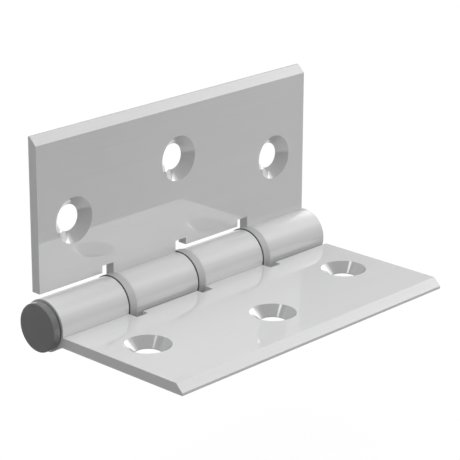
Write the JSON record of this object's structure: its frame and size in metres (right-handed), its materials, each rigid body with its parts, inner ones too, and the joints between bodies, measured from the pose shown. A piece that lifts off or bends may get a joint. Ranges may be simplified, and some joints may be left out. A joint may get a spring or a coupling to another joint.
{
  "type": "butt hinge",
  "caption": "Extruded aluminium butt hinge with alternating knuckles on a fixed pin, ring bushes between the knuckles and countersunk screw holes, standing open at a right angle.",
  "frame": {"origin": "on the back face of the frame leaf, halfway between its two end screw holes", "axes": "+Z out of the frame leaf's countersunk face, +X from the pin towards the frame leaf's outer edge, +Y along the pin away from its cap"},
  "size_m": [0.0565, 0.1026, 0.0565],
  "materials": {
    "leaf_aluminium": "satin anodised",
    "pin_steel": "ground",
    "cap_metal": "glossy dark grey",
    "bush_plastic": "plain grey"
  },
  "bodies": {
    "frame_side": {"frame_leaf": "leaf_aluminium", "hinge_pin": "pin_steel", "pin_cap": "cap_metal", "spacer_bush_2": "bush_plastic"},
    "door_side": {"door_leaf": "leaf_aluminium", "spacer_bush_1": "bush_plastic", "spacer_bush_3": "bush_plastic"}
  },
  "joints": [
    {"name": "leaf_swing", "type": "hinge", "parent": "frame_side", "child": "door_side", "pos_m": [-0.025, 0, 0.0043], "axis": [0, 1, 0], "range_deg": [-180, 90]}
  ]
}
